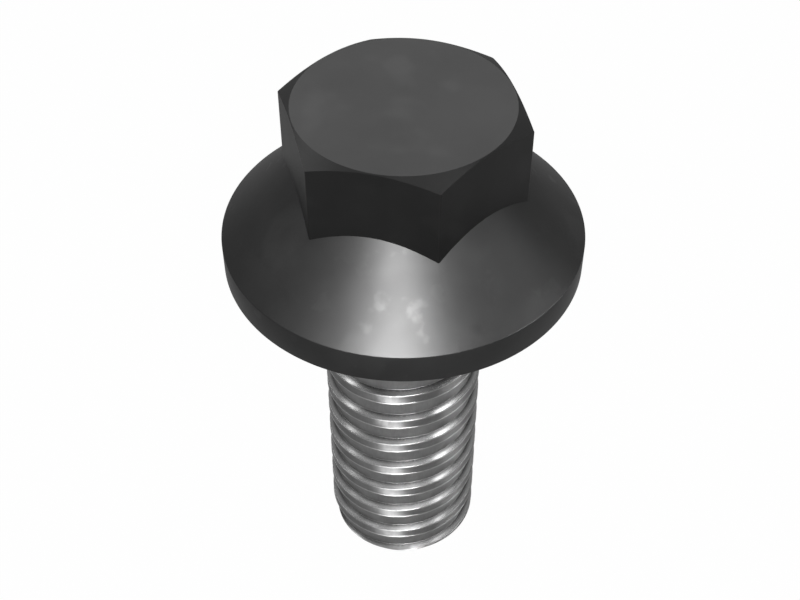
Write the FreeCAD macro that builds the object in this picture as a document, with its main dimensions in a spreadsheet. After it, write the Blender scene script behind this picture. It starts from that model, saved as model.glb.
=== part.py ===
import FreeCAD, Part
import math
import os

import Sketcher

# Flange bolt, forged and thread-rolled in one piece: a hexagon head on a conical flange,
# a short plain neck, and a right-hand thread down to a chamfered tip.
# The axis is Z with the head up. The origin is the centre of the bearing face, which is
# the flat underside of the flange. Two flats of the hexagon face +Y and -Y.

# Driving dimensions, in millimetres and degrees
SIZES = {
    "across_flats": 10.0,
    "head_height": 8.5,
    "corner_radius": 0.15,
    "crown_diameter": 9.9,
    "crown_slope": 30.0,
    "flange_diameter": 17.0,
    "rim_height": 1.5,
    "rim_chamfer": 0.15,
    "flange_slope": 45.0,
    "shank_diameter": 8.0,
    "shank_length": 20.0,
    "root_fillet": 0.4,
    "neck_length": 2.0,
    "neck_slope": 45.0,
    "thread_pitch": 1.88,
    "thread_depth": 0.36,
    "thread_allowance": 0.02,
    "crest_width": 0.62,
    "flank_angle": 30.0,
    "thread_lead_in": 1.16,
    "tip_diameter": 7.1,
    "tip_slope": 57.0,
    "bite": 0.15,
    "cutter_margin": 1.0,
}

# Radii and heights that follow from the driving dimensions
SHANK = "(Sizes.shank_diameter / 2)"
CREST = f"({SHANK} - Sizes.thread_allowance)"
CORE = f"({CREST} - Sizes.thread_depth)"
FLANGE = "(Sizes.flange_diameter / 2)"
CONE_INNER = "(Sizes.across_flats / 2 - Sizes.bite)"
CROWN = "(Sizes.crown_diameter / 2)"
CORNER = "(Sizes.across_flats / 2 / cos(30 deg))"
TIP = "(Sizes.tip_diameter / 2)"
STOCK_END = "(-Sizes.shank_length - Sizes.cutter_margin)"

ON_AXIS = "0"
SAME = 1e-4

# Every sketch holds its own axes as the external lines -1 and -2, and they meet at the origin
ORIGIN_POINT = (-1, 1)
AXIS_LINES = {"horizontal": -1, "vertical": -2}

doc = FreeCAD.newDocument("FlangeBolt")


def slope(run, angle):
    """Height gained over a run at an angle from the horizontal."""
    return f"({run}) * tan(Sizes.{angle} * 1 deg)"


def make_sheet():
    """One named cell for each driving dimension."""
    sheet = doc.addObject("Spreadsheet::Sheet", "Sizes")
    for row, (alias, value) in enumerate(SIZES.items(), start=1):
        sheet.set(f"A{row}", alias)
        sheet.set(f"B{row}", str(value))
        sheet.setAlias(f"B{row}", alias)
    doc.recompute()


def add_sketch(body, name, role):
    """An empty sketch on one of the body's own origin planes."""
    plane = next(f for f in body.Origin.OriginFeatures if f.Role == role)
    sketch = body.newObject("Sketcher::SketchObject", name)
    sketch.AttachmentSupport = [(plane, "")]
    sketch.MapMode = "FlatFace"
    return sketch


def dimension(sketch, kind, start, end, name, expression):
    """A distance that follows the sheet. One that runs below zero is measured the other way."""
    length = float(sketch.evalExpression(expression))
    if length < 0:
        start, end = end, start
        expression = f"-({expression})"
    index = sketch.addConstraint(Sketcher.Constraint(kind, *start, *end, abs(length)))
    sketch.renameConstraint(index, name)
    sketch.setExpression(f"Constraints.{name}", expression)


def place_corners(sketch, corners, kind, across, along):
    """Fix each corner once in one direction: on an axis, level with the last, or by a distance.

    across is the axis that a coordinate of zero lies on, along the kind of line that keeps it.
    """
    last = None
    for corner, (name, expression) in enumerate(corners):
        if expression == ON_AXIS:
            sketch.addConstraint(Sketcher.Constraint("PointOnObject", corner, 1, across))
        elif expression == last:
            sketch.addConstraint(Sketcher.Constraint(along, corner - 1))
        else:
            dimension(sketch, kind, ORIGIN_POINT, (corner, 1), name, expression)
        last = expression


def draw_outline(sketch, corners):
    """A closed outline of straight lines through named corners, (radius, height) each."""
    points = []
    for radius, height in corners.values():
        x = float(sketch.evalExpression(radius))
        y = float(sketch.evalExpression(height))
        points.append(FreeCAD.Vector(x, y, 0))
    for start, end in zip(points, points[1:] + points[:1]):
        sketch.addGeometry(Part.LineSegment(start, end))
    for line in range(len(points)):
        following = (line + 1) % len(points)
        sketch.addConstraint(Sketcher.Constraint("Coincident", line, 2, following, 1))
    radii = [(f"{name}_radius", pair[0]) for name, pair in corners.items()]
    heights = [(f"{name}_height", pair[1]) for name, pair in corners.items()]
    place_corners(sketch, radii, "DistanceX", AXIS_LINES["vertical"], "Vertical")
    place_corners(sketch, heights, "DistanceY", AXIS_LINES["horizontal"], "Horizontal")


def turned(body, kind, sketch):
    """A full turn of a sketch about the bolt's axis, added or cut."""
    feature = body.newObject(kind, f"{sketch.Name}_turned")
    feature.Profile = sketch
    feature.ReferenceAxis = (sketch, ["V_Axis"])
    feature.Angle = 360
    doc.recompute()
    return feature


def add_hexagon(body):
    """The hexagon, from the top of the rim to the top of the head, with its corners eased."""
    sketch = add_sketch(body, "hexagon", "XY_Plane")
    sketch.setExpression("AttachmentOffset.Base.z", "Sizes.rim_height")
    radius = float(sketch.evalExpression(CORNER))
    points = []
    for side in range(6):
        angle = math.radians(60 * side)
        points.append(FreeCAD.Vector(radius * math.cos(angle), radius * math.sin(angle), 0))
    for start, end in zip(points, points[1:] + points[:1]):
        sketch.addGeometry(Part.LineSegment(start, end))
    circle = Part.Circle(FreeCAD.Vector(0, 0, 0), FreeCAD.Vector(0, 0, 1), radius)
    around = sketch.addGeometry(circle, True)
    sketch.addConstraint(Sketcher.Constraint("Coincident", around, 3, *ORIGIN_POINT))
    for side in range(6):
        following = (side + 1) % 6
        sketch.addConstraint(Sketcher.Constraint("Coincident", side, 2, following, 1))
        sketch.addConstraint(Sketcher.Constraint("PointOnObject", side, 1, around))
    for side in range(1, 6):
        sketch.addConstraint(Sketcher.Constraint("Equal", 0, side))
    sketch.addConstraint(Sketcher.Constraint("Horizontal", 1))
    dimension(sketch, "DistanceY", (4, 1), (1, 1), "across_flats", "Sizes.across_flats")

    pad = body.newObject("PartDesign::Pad", "hexagon_pad")
    pad.Profile = sketch
    pad.setExpression("Length", "Sizes.head_height - Sizes.rim_height")
    doc.recompute()

    upright = []
    for number, edge in enumerate(pad.Shape.Edges, start=1):
        if abs(edge.tangentAt(edge.FirstParameter).z) > 0.99:
            upright.append(f"Edge{number}")
    corners = body.newObject("PartDesign::Fillet", "hexagon_corners")
    corners.Base = (pad, upright)
    corners.setExpression("Radius", "Sizes.corner_radius")
    doc.recompute()


def add_blank(body):
    """The turned blank: flange with its cone, neck, and the thread's core."""
    sketch = add_sketch(body, "blank", "XZ_Plane")
    cone_top = f"Sizes.rim_height + {slope(f'{FLANGE} - {CONE_INNER}', 'flange_slope')}"
    neck_end = f"-Sizes.neck_length - {slope(f'{SHANK} - {CORE}', 'neck_slope')}"
    draw_outline(sketch, {
        "end_centre": (ON_AXIS, STOCK_END),
        "end": (CORE, STOCK_END),
        "core_start": (CORE, neck_end),
        "neck_end": (SHANK, "-Sizes.neck_length"),
        "neck_start": (SHANK, ON_AXIS),
        "bearing_edge": (FLANGE, ON_AXIS),
        "rim_top": (FLANGE, "Sizes.rim_height"),
        "cone_top": (CONE_INNER, cone_top),
        "cone_centre": (ON_AXIS, cone_top),
    })
    turned(body, "PartDesign::Revolution", sketch)


def cut_crown(body):
    """The chamfer round the top of the hexagon."""
    sketch = add_sketch(body, "crown", "XZ_Plane")
    outer = f"{CORNER} + Sizes.cutter_margin"
    low = f"Sizes.head_height - {slope(f'{outer} - {CROWN}', 'crown_slope')}"
    high = "Sizes.head_height + Sizes.cutter_margin"
    draw_outline(sketch, {
        "edge": (CROWN, "Sizes.head_height"),
        "low": (outer, low),
        "high": (outer, high),
        "inner": (CROWN, high),
    })
    turned(body, "PartDesign::Groove", sketch)


def circles_at(shape, radius, *heights):
    """The names of the circular edges of one radius at these heights about the axis."""
    found = []
    for number, edge in enumerate(shape.Edges, start=1):
        curve = edge.Curve
        if not isinstance(curve, Part.Circle) or abs(curve.Radius - radius) > SAME:
            continue
        if any(abs(curve.Center.z - height) < SAME for height in heights):
            found.append(f"Edge{number}")
    return found


def ease_edges(body):
    """Both edges of the flange's rim broken, and the fillet from the neck to the bearing face."""
    blank = body.Tip
    sheet = doc.Sizes
    rim = body.newObject("PartDesign::Chamfer", "rim_edges")
    rim.Base = (blank, circles_at(blank.Shape, sheet.flange_diameter / 2, 0, sheet.rim_height))
    rim.setExpression("Size", "Sizes.rim_chamfer")
    doc.recompute()

    fillet = body.newObject("PartDesign::Fillet", "neck_fillet")
    fillet.Base = (rim, circles_at(rim.Shape, sheet.shank_diameter / 2, 0))
    fillet.setExpression("Radius", "Sizes.root_fillet")
    doc.recompute()


def add_thread(body):
    """A right-hand ridge wound round the core, from below the tip up into the neck."""
    sketch = add_sketch(body, "ridge", "XZ_Plane")
    middle = "(-Sizes.shank_length - Sizes.thread_lead_in)"
    foot = f"({CORE} - Sizes.bite)"
    crest_half = "Sizes.crest_width / 2"
    foot_half = f"({crest_half} + {slope(f'{CREST} - {foot}', 'flank_angle')})"
    draw_outline(sketch, {
        "foot_low": (foot, f"{middle} - {foot_half}"),
        "crest_low": (CREST, f"{middle} - {crest_half}"),
        "crest_high": (CREST, f"{middle} + {crest_half}"),
        "foot_high": (foot, f"{middle} + {foot_half}"),
    })
    ridge = body.newObject("PartDesign::AdditiveHelix", "thread")
    ridge.Profile = sketch
    ridge.ReferenceAxis = (sketch, ["V_Axis"])
    ridge.Mode = "pitch-height-angle"
    ridge.setExpression("Pitch", "Sizes.thread_pitch")
    top = "Sizes.shank_length + Sizes.thread_lead_in - Sizes.neck_length / 2"
    ridge.setExpression("Height", top)
    doc.recompute()


def cut_tip(body):
    """The flat end of the bolt and the chamfer that leads it into a nut."""
    sketch = add_sketch(body, "tip", "XZ_Plane")
    outer = f"({SHANK} + Sizes.cutter_margin)"
    chamfer = f"-Sizes.shank_length + {slope(f'{outer} - {TIP}', 'tip_slope')}"
    below = "-Sizes.shank_length - Sizes.thread_lead_in - Sizes.thread_pitch"
    draw_outline(sketch, {
        "face_centre": (ON_AXIS, "-Sizes.shank_length"),
        "face_edge": (TIP, "-Sizes.shank_length"),
        "chamfer_top": (outer, chamfer),
        "outside": (outer, below),
        "below": (ON_AXIS, below),
    })
    turned(body, "PartDesign::Groove", sketch)


def check_document():
    """Stop on any failed feature or an unsound solid."""
    for thing in doc.Objects:
        if {"Invalid", "Error"} & set(thing.State):
            raise RuntimeError(f"{thing.Label} failed: {thing.State}")
    for thing in doc.Objects:
        if thing.TypeId != "PartDesign::Body":
            continue
        if thing.Shape.isNull() or not thing.Shape.isValid() or len(thing.Shape.Solids) != 1:
            raise RuntimeError(f"{thing.Label} is not one sound solid")


def export(body):
    os.makedirs("parts", exist_ok=True)
    body.Shape.exportStep(f"parts/{body.Label}.step")


make_sheet()
bolt = doc.addObject("PartDesign::Body", "flange_bolt")
bolt.Label = "flange_bolt"
add_hexagon(bolt)
add_blank(bolt)
cut_crown(bolt)
ease_edges(bolt)
add_thread(bolt)
cut_tip(bolt)
doc.recompute()
check_document()
export(bolt)
box = bolt.Shape.BoundBox
print("flange_bolt", round(bolt.Shape.Volume, 2), "cubic mm,", len(bolt.Shape.Faces), "faces,", box)
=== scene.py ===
import math

import bpy
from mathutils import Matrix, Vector


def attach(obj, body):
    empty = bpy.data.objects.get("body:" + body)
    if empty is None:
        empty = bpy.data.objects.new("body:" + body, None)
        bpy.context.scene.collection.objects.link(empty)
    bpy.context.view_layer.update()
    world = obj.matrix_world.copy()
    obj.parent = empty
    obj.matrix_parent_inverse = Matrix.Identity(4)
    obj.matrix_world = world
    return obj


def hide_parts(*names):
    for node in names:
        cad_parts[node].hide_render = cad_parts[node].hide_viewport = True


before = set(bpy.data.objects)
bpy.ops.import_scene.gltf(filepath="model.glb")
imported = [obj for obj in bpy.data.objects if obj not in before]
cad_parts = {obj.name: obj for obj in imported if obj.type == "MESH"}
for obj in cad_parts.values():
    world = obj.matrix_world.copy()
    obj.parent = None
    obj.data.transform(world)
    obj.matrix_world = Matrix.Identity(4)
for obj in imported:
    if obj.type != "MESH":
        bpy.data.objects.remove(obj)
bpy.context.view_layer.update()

MM = 0.001

# The bolt, as its source has it, but for a shallower groove, 0.30 mm deep, and smaller rounds on
# its edges. The origin is the centre of the bearing face, head up.
RIM_RADIUS = 8.5 * MM
RIM_HEIGHT = 1.5 * MM
RIM_EDGE = 0.04 * MM
FLAT_RADIUS = 5.0 * MM
HEAD_TOP = 8.5 * MM
CROWN_RADIUS = 4.95 * MM
CROWN_SLOPE = math.radians(30)
CORNER_EDGE = 0.06 * MM
CONE_INNER = 4.85 * MM
CONE_SLOPE = math.radians(45)
SHANK_RADIUS = 4.0 * MM
SHANK_END = -20.0 * MM
NECK_LENGTH = 2.0 * MM
NECK_FILLET = 0.4 * MM
PITCH = 1.88 * MM
CREST_RADIUS = 3.98 * MM
CORE_RADIUS = 3.68 * MM
CREST_WIDTH = 0.62 * MM
FLANK_ANGLE = math.radians(30)
CREST_ROUND = 0.003 * MM
ROOT_ROUND = 0.01 * MM
TIP_RADIUS = 3.55 * MM
TIP_SLOPE = math.radians(57)
FIRST_CREST = -21.16 * MM

# Each crest has a low lip along both of its sides.
LIP_WIDTH = 0.07 * MM
LIP_HEIGHT = 0.012 * MM
LIP_ROUND = 0.015 * MM

# The hexagon is turned so that two flats face +Y and -Y.
HEXAGON_TURN = math.radians(30)
FLAT_TURNS = [math.radians(angle) for angle in (30, 90, 150)]

# How finely each round is divided
ROUND_SIDES = 256
THREAD_STEPS = 96
FILLET_STEPS = 8
RIM_STEPS = 3
CORNER_STEPS = 4
LIP_STEPS = 2
CREST_STEPS = 3
ROOT_STEPS = 6
SMOOTH_ANGLE = math.radians(22)

# Shapes that are joined reach this far into each other.
OVERLAP = 0.5 * MM

# What counts as on a circle, as the same point, as past a face, and as in a cutting plane
CLOSE_TO = 0.01 * MM
WELD = 0.0001 * MM
HAIR = 0.001 * MM
ON_PLANE = 1e-9

# A face is level where the upright part of its normal is more than this.
LEVEL = 0.9


# ---------------------------------------------------------------- modelling

def deselect():
    bpy.ops.object.select_all(action="DESELECT")


def named(name):
    """The object that was just added, with its place and turn put into its mesh."""
    piece = bpy.context.object
    piece.name = name
    piece.data.name = name
    bpy.ops.object.transform_apply(location=True, rotation=True, scale=True)
    return piece


def work_on(piece):
    deselect()
    piece.select_set(True)
    bpy.context.view_layer.objects.active = piece


def pick(piece, kind, wanted):
    """Select the faces or edges that are wanted, and go into edit mode with them."""
    mode = {"FACE": (False, False, True), "EDGE": (False, True, False)}[kind]
    bpy.ops.object.mode_set(mode="EDIT")
    bpy.context.tool_settings.mesh_select_mode = mode
    bpy.ops.mesh.select_all(action="DESELECT")
    bpy.ops.object.mode_set(mode="OBJECT")
    mesh = piece.data
    if kind == "FACE":
        for face in mesh.polygons:
            face.select = wanted(face.center, face.normal)
    else:
        for edge in mesh.edges:
            start, end = (mesh.vertices[v].co for v in edge.vertices)
            edge.select = wanted(start, end)
    bpy.ops.object.mode_set(mode="EDIT")


def done():
    """Leave edit mode."""
    bpy.ops.object.mode_set(mode="OBJECT")


def extrude(distance, scale=1.0):
    """Extrude the selected cap along the axis, then widen or narrow it about the axis."""
    bpy.ops.mesh.extrude_region_move(TRANSFORM_OT_translate={"value": (0, 0, distance)})
    if scale != 1.0:
        bpy.ops.transform.resize(value=(scale, scale, 1), center_override=(0, 0, 0))


def on_circle(radius, height):
    """A test for the edges of a circle about the axis."""
    def test(start, end):
        return all(
            abs(math.hypot(point.x, point.y) - radius) < CLOSE_TO
            and abs(point.z - height) < CLOSE_TO
            for point in (start, end)
        )
    return test


def combine(piece, other, operation):
    """Add the other to the piece, or keep what both share. The other is used up."""
    work_on(piece)
    step = piece.modifiers.new("combine", "BOOLEAN")
    step.operation = operation
    step.solver = "EXACT"
    step.double_threshold = 0.0
    step.object = other
    bpy.ops.object.modifier_apply(modifier=step.name)
    bpy.data.objects.remove(other)


def make_flange():
    """The rim and its cone, with the neck below it."""
    deselect()
    bpy.ops.mesh.primitive_cylinder_add(
        vertices=ROUND_SIDES, radius=RIM_RADIUS, depth=RIM_HEIGHT, location=(0, 0, RIM_HEIGHT / 2)
    )
    flange = named("flange")
    work_on(flange)

    cone_height = (RIM_RADIUS - CONE_INNER) * math.tan(CONE_SLOPE)
    pick(flange, "FACE", lambda centre, normal: normal.z > LEVEL)
    extrude(cone_height, CONE_INNER / RIM_RADIUS)

    pick(flange, "FACE", lambda centre, normal: normal.z < -LEVEL)
    bpy.ops.mesh.inset(thickness=RIM_RADIUS - SHANK_RADIUS, use_even_offset=False)
    extrude(-NECK_LENGTH)
    inside = CORE_RADIUS - OVERLAP
    extrude(-(SHANK_RADIUS - inside), inside / SHANK_RADIUS)

    pick(flange, "EDGE", on_circle(SHANK_RADIUS, 0))
    bpy.ops.mesh.bevel(offset=NECK_FILLET, segments=FILLET_STEPS, affect="EDGES")
    done()
    for height in (0, RIM_HEIGHT):
        pick(flange, "EDGE", on_circle(RIM_RADIUS, height))
        bpy.ops.mesh.bevel(offset=RIM_EDGE, segments=RIM_STEPS, affect="EDGES")
        done()
    return flange


def make_hexagon():
    """The six flats under a chamfered crown."""
    deselect()
    foot = RIM_HEIGHT - OVERLAP
    bpy.ops.mesh.primitive_cylinder_add(
        vertices=6,
        radius=FLAT_RADIUS / math.cos(HEXAGON_TURN),
        depth=HEAD_TOP + OVERLAP - foot,
        location=(0, 0, (HEAD_TOP + OVERLAP + foot) / 2),
        rotation=(0, 0, HEXAGON_TURN),
    )
    hexagon = named("hexagon")
    work_on(hexagon)
    pick(hexagon, "EDGE", lambda start, end: abs(start.z - end.z) > MM)
    bpy.ops.mesh.bevel(offset=CORNER_EDGE, segments=CORNER_STEPS, affect="EDGES")
    done()

    deselect()
    bpy.ops.mesh.primitive_cone_add(
        vertices=ROUND_SIDES,
        radius1=CROWN_RADIUS + HEAD_TOP / math.tan(CROWN_SLOPE),
        radius2=CROWN_RADIUS,
        depth=HEAD_TOP,
        location=(0, 0, HEAD_TOP / 2),
    )
    combine(hexagon, named("crown"), "INTERSECT")
    return hexagon


def rounded(corner, before, after, radius, steps):
    """Points of an arc that rounds a corner between its two neighbours, (radius, height) each."""
    corner, before, after = Vector(corner), Vector(before), Vector(after)
    to_before = (before - corner).normalized()
    to_after = (after - corner).normalized()
    half = to_before.angle(to_after) / 2
    centre = corner + (to_before + to_after).normalized() * radius / math.sin(half)
    start = corner + to_before * radius / math.tan(half)
    end = corner + to_after * radius / math.tan(half)
    turn = (start - centre).angle_signed(end - centre)
    arm = start - centre
    points = []
    for step in range(steps + 1):
        angle = -turn * step / steps
        points.append(centre + Vector((
            arm.x * math.cos(angle) - arm.y * math.sin(angle),
            arm.x * math.sin(angle) + arm.y * math.cos(angle),
        )))
    return points


def thread_section():
    """One pitch of the thread as (radius, height) points, with its crest at height 0."""
    flank = (CREST_RADIUS - CORE_RADIUS) * math.tan(FLANK_ANGLE)
    crest = CREST_WIDTH / 2
    lip = crest - LIP_WIDTH
    # Radius and height of each corner of the upper half, the round on it, and that round's steps
    upper = [
        (CREST_RADIUS - LIP_HEIGHT, lip - LIP_HEIGHT, LIP_ROUND, LIP_STEPS),
        (CREST_RADIUS, lip, LIP_ROUND, LIP_STEPS),
        (CREST_RADIUS, crest, CREST_ROUND, CREST_STEPS),
        (CORE_RADIUS, crest + flank, ROOT_ROUND, ROOT_STEPS),
    ]
    lower = [(radius, -height, *rounding) for radius, height, *rounding in reversed(upper)]
    first, last = (CORE_RADIUS, -PITCH / 2), (CORE_RADIUS, PITCH / 2)
    corners = [(*first, 0, 0), *lower, *upper, (*last, 0, 0)]
    section = [Vector(first)]
    for before, corner, after in zip(corners, corners[1:], corners[2:]):
        section += rounded(corner[:2], before[:2], after[:2], corner[2], corner[3])
    section.append(Vector(last))
    return section


def make_thread():
    """One turn's section wound up the shank, capped, with the tip turned to a chamfer."""
    section = thread_section()
    deselect()
    bpy.ops.mesh.primitive_circle_add(vertices=len(section), radius=MM, fill_type="NOTHING")
    thread = named("thread")
    work_on(thread)

    # The ring of points is opened between its last and its first, and laid along the section.
    closing = {0, len(section) - 1}
    pick(thread, "EDGE", lambda start, end: False)
    done()
    for edge in thread.data.edges:
        edge.select = set(edge.vertices) == closing
    bpy.ops.object.mode_set(mode="EDIT")
    bpy.ops.mesh.delete(type="EDGE_FACE")
    done()
    for vertex, (radius, height) in zip(thread.data.vertices, section):
        vertex.co = (radius, 0, FIRST_CREST + height)

    wind = thread.modifiers.new("wind", "SCREW")
    wind.screw_offset = PITCH
    wind.iterations = math.ceil((-NECK_LENGTH - FIRST_CREST) / PITCH) + 2
    wind.steps = THREAD_STEPS
    wind.render_steps = THREAD_STEPS
    wind.use_merge_vertices = False
    bpy.ops.object.modifier_apply(modifier=wind.name)

    for height, side in ((SHANK_END - OVERLAP, "clear_inner"), (-NECK_LENGTH / 2, "clear_outer")):
        bpy.ops.object.mode_set(mode="EDIT")
        bpy.ops.mesh.select_all(action="SELECT")
        bpy.ops.mesh.remove_doubles(threshold=WELD)
        bpy.ops.mesh.bisect(
            plane_co=(0, 0, height), plane_no=(0, 0, 1), use_fill=True, threshold=ON_PLANE,
            **{side: True},
        )
        done()
    bpy.ops.object.mode_set(mode="EDIT")
    bpy.ops.mesh.select_all(action="SELECT")
    bpy.ops.mesh.normals_make_consistent(inside=False)
    done()

    deselect()
    depth = -SHANK_END
    bpy.ops.mesh.primitive_cone_add(
        vertices=ROUND_SIDES,
        radius1=TIP_RADIUS,
        radius2=TIP_RADIUS + depth / math.tan(TIP_SLOPE),
        depth=depth,
        location=(0, 0, SHANK_END + depth / 2),
    )
    combine(thread, named("tip"), "INTERSECT")
    return thread


bolt = make_flange()
combine(bolt, make_hexagon(), "UNION")
combine(bolt, make_thread(), "UNION")
bolt.name = "bolt"
bolt.data.name = "bolt"
work_on(bolt)
bpy.ops.object.shade_smooth_by_angle(angle=SMOOTH_ANGLE)


# ---------------------------------------------------------------- finishes

# Painted shade and light: one black oxide in two copies. The head's copy is painted darker, as
# painted shade on the hexagon, and the flange's is painted lighter, as painted light on the rim
# and cone.
HEAD_TONE_PAINTED_SHADE = 0.038
FLANGE_TONE_PAINTED_LIGHT = 0.06
OXIDE_ROUGHNESS = 0.38
STEEL_TONE = 0.33
STEEL_ROUGHNESS = 0.34

# How far the pattern of specks is moved, so that a few of them lie at the front
SPECK_SHIFT = (53 * MM, 10 * MM, 7 * MM)

# Noise from 0 to 1 swings about this.
MIDDLE = 0.5

# The zones of the rolled steel, as soft steps in the distance from the axis. The neck, further
# out than the lips, is finished as the crests are.
ON_FLANK = (3.683 * MM, 3.69 * MM)
OUT_OF_GROOVE = (3.72 * MM, 3.9 * MM)
ON_CREST = (3.955 * MM, 3.965 * MM)
ON_LIP = (3.97 * MM, 3.976 * MM)
PAST_LIP = (3.985 * MM, 3.99 * MM)

# The grain of the rolled steel is this much slower along the axis than across it.
GRAIN_ALONG = 0.25

# The white surround, as the camera and the metal see it, and as it lights the rest
SEEN_BY_CAMERA = 0.99
SEEN_IN_METAL = 0.1
WORLD = 0.2
FLOOR_TONE = 0.15


class Link:
    """One output of a node. Sums on it add the Math nodes that work them out."""

    def __init__(self, paint, socket):
        self.paint = paint
        self.socket = socket

    def math(self, operation, first, second):
        return self.paint.node("Math", {"operation": operation}, {0: first, 1: second})

    def __add__(self, other):
        return self.math("ADD", self, other)

    def __radd__(self, other):
        return self.math("ADD", other, self)

    def __sub__(self, other):
        return self.math("SUBTRACT", self, other)

    def __rsub__(self, other):
        return self.math("SUBTRACT", other, self)

    def __mul__(self, other):
        return self.math("MULTIPLY", self, other)

    def __rmul__(self, other):
        return self.math("MULTIPLY", other, self)


class Paint:
    """The nodes of a material or of the world, and the one method that adds them."""

    def __init__(self, owner):
        owner.use_nodes = True
        self.owner = owner
        self.tree = owner.node_tree
        self.tree.nodes.clear()

    def node(self, kind, settings=None, sockets=None, output=0):
        made = self.tree.nodes.new("ShaderNode" + kind)
        for name, value in (settings or {}).items():
            setattr(made, name, value)
        for name, value in (sockets or {}).items():
            if isinstance(value, Link):
                self.tree.links.new(value.socket, made.inputs[name])
            else:
                made.inputs[name].default_value = value
        return Link(self, made.outputs[output]) if made.outputs else None

    def clouds(self, place, size, detail=3.0, roughness=0.5):
        """Soft noise from 0 to 1 whose patches are about this wide, in metres."""
        return self.node("TexNoise", {"noise_dimensions": "3D"}, {
            "Vector": place, "Scale": 1 / size, "Detail": detail, "Roughness": roughness,
        })

    def between(self, value, low, high):
        """0 up to low, 1 from high, and a soft step from one to the other."""
        return self.node("MapRange", {"interpolation_type": "SMOOTHSTEP"}, {
            "Value": value, "From Min": low, "From Max": high,
        })

    def tone(self, value):
        """The grey of this value, as a colour."""
        return self.node("CombineColor", {}, {0: value, 1: value, 2: value})

    def metal(self, tone, roughness, relief, **constants):
        """A metal surface, with any constants for the shader's other sockets."""
        return self.node("BsdfPrincipled", {}, {
            "Base Color": tone,
            "Metallic": 1.0,
            "Roughness": roughness,
            "Normal": relief,
            **constants,
        })

    def seen(self):
        """How much of the white surround a ray sees: nearly all of it from the camera."""
        camera, glossy, clear = (
            self.node("LightPath", output=f"Is {kind} Ray")
            for kind in ("Camera", "Glossy", "Transmission")
        )
        return camera * SEEN_BY_CAMERA + (glossy + clear) * SEEN_IN_METAL

    def output(self, kind, shader):
        self.node(kind, {}, {"Surface": shader})
        return self.owner


def grey(value):
    return (value, value, value, 1)


def black_oxide(name, tone, handled):
    """Satin black: soft clouds, a fine grain, shallow dents and, where handled is 1 and not 0, a
    few smoother specks."""
    paint = Paint(bpy.data.materials.new(name))
    place = paint.node("TexCoord", output="Object")
    clouds = paint.clouds(place, 3.2 * MM)
    grain = paint.clouds(place, 0.12 * MM, 2.0, 0.6)
    dents = paint.clouds(place, 1.1 * MM, 2.0)
    worn = paint.between(paint.clouds(place, 2.4 * MM, 1.5), 0.56, 0.7)
    moved = paint.node("Mapping", {}, {"Vector": place, "Location": SPECK_SHIFT})
    specks = handled * paint.between(paint.clouds(moved, 1.2 * MM), 0.6, 0.7)
    value = tone * (0.98 + (clouds - MIDDLE) * 0.5 + worn * 0.14 + specks * 0.14)
    roughness = OXIDE_ROUGHNESS + clouds * 0.06 + grain * 0.04 - specks * 0.06
    relief = paint.node("Bump", {}, {
        "Height": dents * 0.8 + grain * 0.06,
        "Strength": 0.25,
        "Distance": 0.02 * MM,
    })
    return paint.output("OutputMaterial", paint.metal(paint.tone(value), roughness, relief))


def bright_steel():
    """Rolled bare steel: burnished crests with lips painted bright as painted highlights, smooth
    flanks with painted shade that darkens them towards the foot of the groove, and a dull core."""
    paint = Paint(bpy.data.materials.new("bright_steel"))
    place = paint.node("TexCoord", output="Object")
    x = paint.node("SeparateXYZ", {}, {"Vector": place}, "X")
    y = paint.node("SeparateXYZ", {}, {"Vector": place}, "Y")
    radius = paint.node("Math", {"operation": "SQRT"}, {0: x * x + y * y})
    crest = paint.between(radius, *ON_CREST)
    # Painted highlight: the lips are painted lighter, standing for glints along the crests'
    # edges.
    lip = paint.between(radius, *ON_LIP) - paint.between(radius, *PAST_LIP)
    flank = paint.between(radius, *ON_FLANK) - crest
    # Painted shade: this mask darkens the flank towards the foot of the groove.
    deep = flank * (1 - paint.between(radius, *OUT_OF_GROOVE))

    uneven = 1 - flank * 0.6
    clouds = paint.clouds(place, 0.9 * MM, 3.0, 0.55) - MIDDLE
    drawn = paint.node("Mapping", {}, {"Vector": place, "Scale": (1, 1, GRAIN_ALONG)})
    grain = paint.clouds(drawn, 0.1 * MM, 2.0, 0.6) - MIDDLE

    # The flanks' foot is painted darker here, as painted shade.
    # The lips are painted lighter here, as painted highlights.
    value = STEEL_TONE - crest * 0.05 + flank * 0.22 + lip * 0.24 - deep * 0.42
    value = value * (1 + clouds * 0.5 + grain * 0.3 * uneven)
    roughness = STEEL_ROUGHNESS + crest * 0.04 - flank * 0.13 + deep * 0.07
    roughness = roughness + (clouds + grain) * 0.1 * uneven
    relief = paint.node("Bump", {}, {
        "Height": (clouds * 0.5 + grain * 0.2) * uneven,
        "Strength": 0.3,
        "Distance": 0.01 * MM,
    })
    tone = paint.tone(value)
    rolled = paint.metal(tone, roughness, relief)
    burnished = paint.metal(
        tone, roughness, relief, **{"Anisotropic": 0.98, "Anisotropic Rotation": 0.23}
    )
    shader = paint.node("MixShader", {}, {0: crest, 1: rolled, 2: burnished})
    return paint.output("OutputMaterial", shader)


def floor_white():
    """A white floor that keeps the bolt's shadow faintly."""
    paint = Paint(bpy.data.materials.new("floor_white"))
    paper = paint.node("BsdfDiffuse", {}, {"Color": grey(FLOOR_TONE)})
    glow = paint.node("Emission", {}, {"Color": grey(1.0), "Strength": 1.0})
    shader = paint.node("MixShader", {}, {0: paint.seen(), 1: paper, 2: glow})
    return paint.output("OutputMaterial", shader)


def studio():
    """A dim, even room that the camera sees as white."""
    paint = Paint(bpy.data.worlds.new("studio"))
    strength = WORLD + (1 - WORLD) * paint.seen()
    shader = paint.node("Background", {}, {"Color": grey(1.0), "Strength": strength})
    return paint.output("OutputWorld", shader)


def on_shank(centre, normal):
    return centre.z < -HAIR


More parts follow.
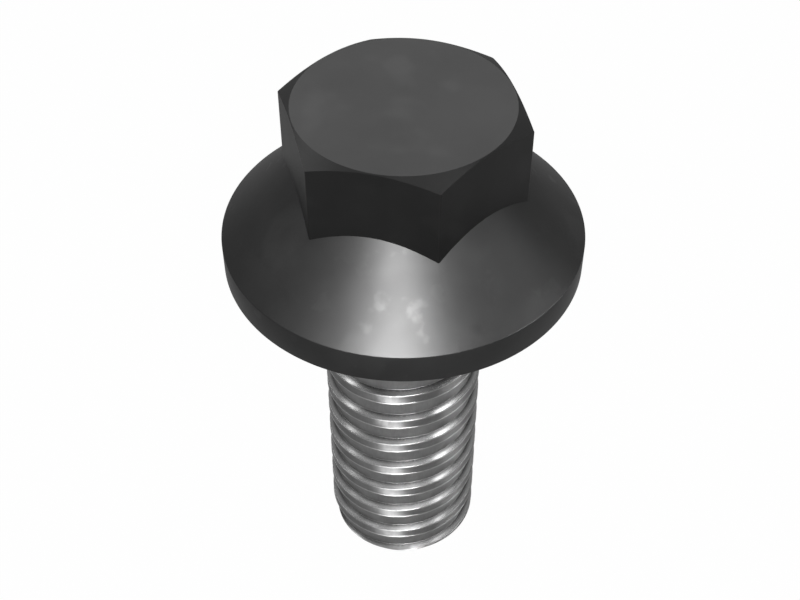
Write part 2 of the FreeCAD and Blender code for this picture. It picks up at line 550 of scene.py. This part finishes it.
def on_flange(centre, normal):
    """Below the top of the rim, or outside the flats of the hexagon."""
    spans = [abs(centre.x * math.cos(turn) + centre.y * math.sin(turn)) for turn in FLAT_TURNS]
    return centre.z < RIM_HEIGHT or max(spans) > FLAT_RADIUS + HAIR


bolt.data.materials.clear()
# The head's copy carries painted shade and the flange's copy painted light, as two tones of one
# oxide.
bolt.data.materials.append(black_oxide("black_oxide_head_shaded", HEAD_TONE_PAINTED_SHADE, 0))
bolt.data.materials.append(black_oxide("black_oxide_flange_lit", FLANGE_TONE_PAINTED_LIGHT, 1))
bolt.data.materials.append(bright_steel())
for slot, test in ((1, on_flange), (2, on_shank)):
    pick(bolt, "FACE", test)
    bolt.active_material_index = slot
    bpy.ops.object.material_slot_assign()
    done()
weigh = bolt.modifiers.new("weigh", "WEIGHTED_NORMAL")
weigh.keep_sharp = True
bpy.ops.object.modifier_apply(modifier=weigh.name)

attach(bolt, "root")
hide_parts("flange_bolt")


# ---------------------------------------------------------------- floor, light and camera

FLOOR_SIZE = 2.0

# Azimuths count from the camera's side of the bolt, in degrees.
CAMERA_TURN = 14.83
CAMERA_PLACE = (0.011652, -0.044007, 0.041932)
CAMERA_AZIMUTH = 180.198
CAMERA_ELEVATION = -44.943
CAMERA_LENS = 58.31
SENSOR_WIDTH = 36
NEAREST = 0.001
FURTHEST = 10

# Name, azimuth and elevation in degrees, width and height in metres, power in watts
LAMP_DISTANCE = 0.2
LAMPS = [
    ("key", -3, 32, 0.08, 0.05, 0.8),
    ("fill", -42, 34, 0.14, 0.05, 0.035),
    ("side", 74, 9, 0.12, 0.03, 0.13),
    ("spot", 62, 55, 0.08, 0.04, 0.045),
    ("left", -117, 46, 0.16, 0.05, 0.07),
    ("back", 180, 48, 0.25, 0.15, 0.27),
]


def around(azimuth, elevation, distance):
    """A point at a distance from the bolt's origin."""
    turn, rise = math.radians(CAMERA_TURN + azimuth), math.radians(elevation)
    return Vector((
        distance * math.cos(rise) * math.sin(turn),
        -distance * math.cos(rise) * math.cos(turn),
        distance * math.sin(rise),
    ))


def softbox(name, azimuth, elevation, width, height, power):
    """A flat lamp that faces the bolt."""
    place = around(azimuth, elevation, LAMP_DISTANCE)
    bpy.ops.object.light_add(type="AREA", location=place)
    lamp = bpy.context.object
    lamp.name = name
    lamp.data.shape = "RECTANGLE"
    lamp.data.size = width
    lamp.data.size_y = height
    lamp.data.energy = power
    lamp.rotation_euler = (-place).to_track_quat("-Z", "Y").to_euler()


deselect()
bpy.ops.mesh.primitive_plane_add(size=FLOOR_SIZE, location=(0, 0, SHANK_END))
floor = named("floor")
floor.data.materials.append(floor_white())
bpy.context.scene.world = studio()

for lamp in LAMPS:
    softbox(*lamp)

bpy.ops.object.camera_add(location=CAMERA_PLACE)
camera = bpy.context.object
camera.data.lens = CAMERA_LENS
camera.data.sensor_width = SENSOR_WIDTH
camera.data.clip_start = NEAREST
camera.data.clip_end = FURTHEST
look = around(CAMERA_AZIMUTH, CAMERA_ELEVATION, 1.0)
camera.rotation_euler = look.to_track_quat("-Z", "Y").to_euler()
bpy.context.scene.camera = camera
bpy.context.scene.view_settings.view_transform = "Standard"
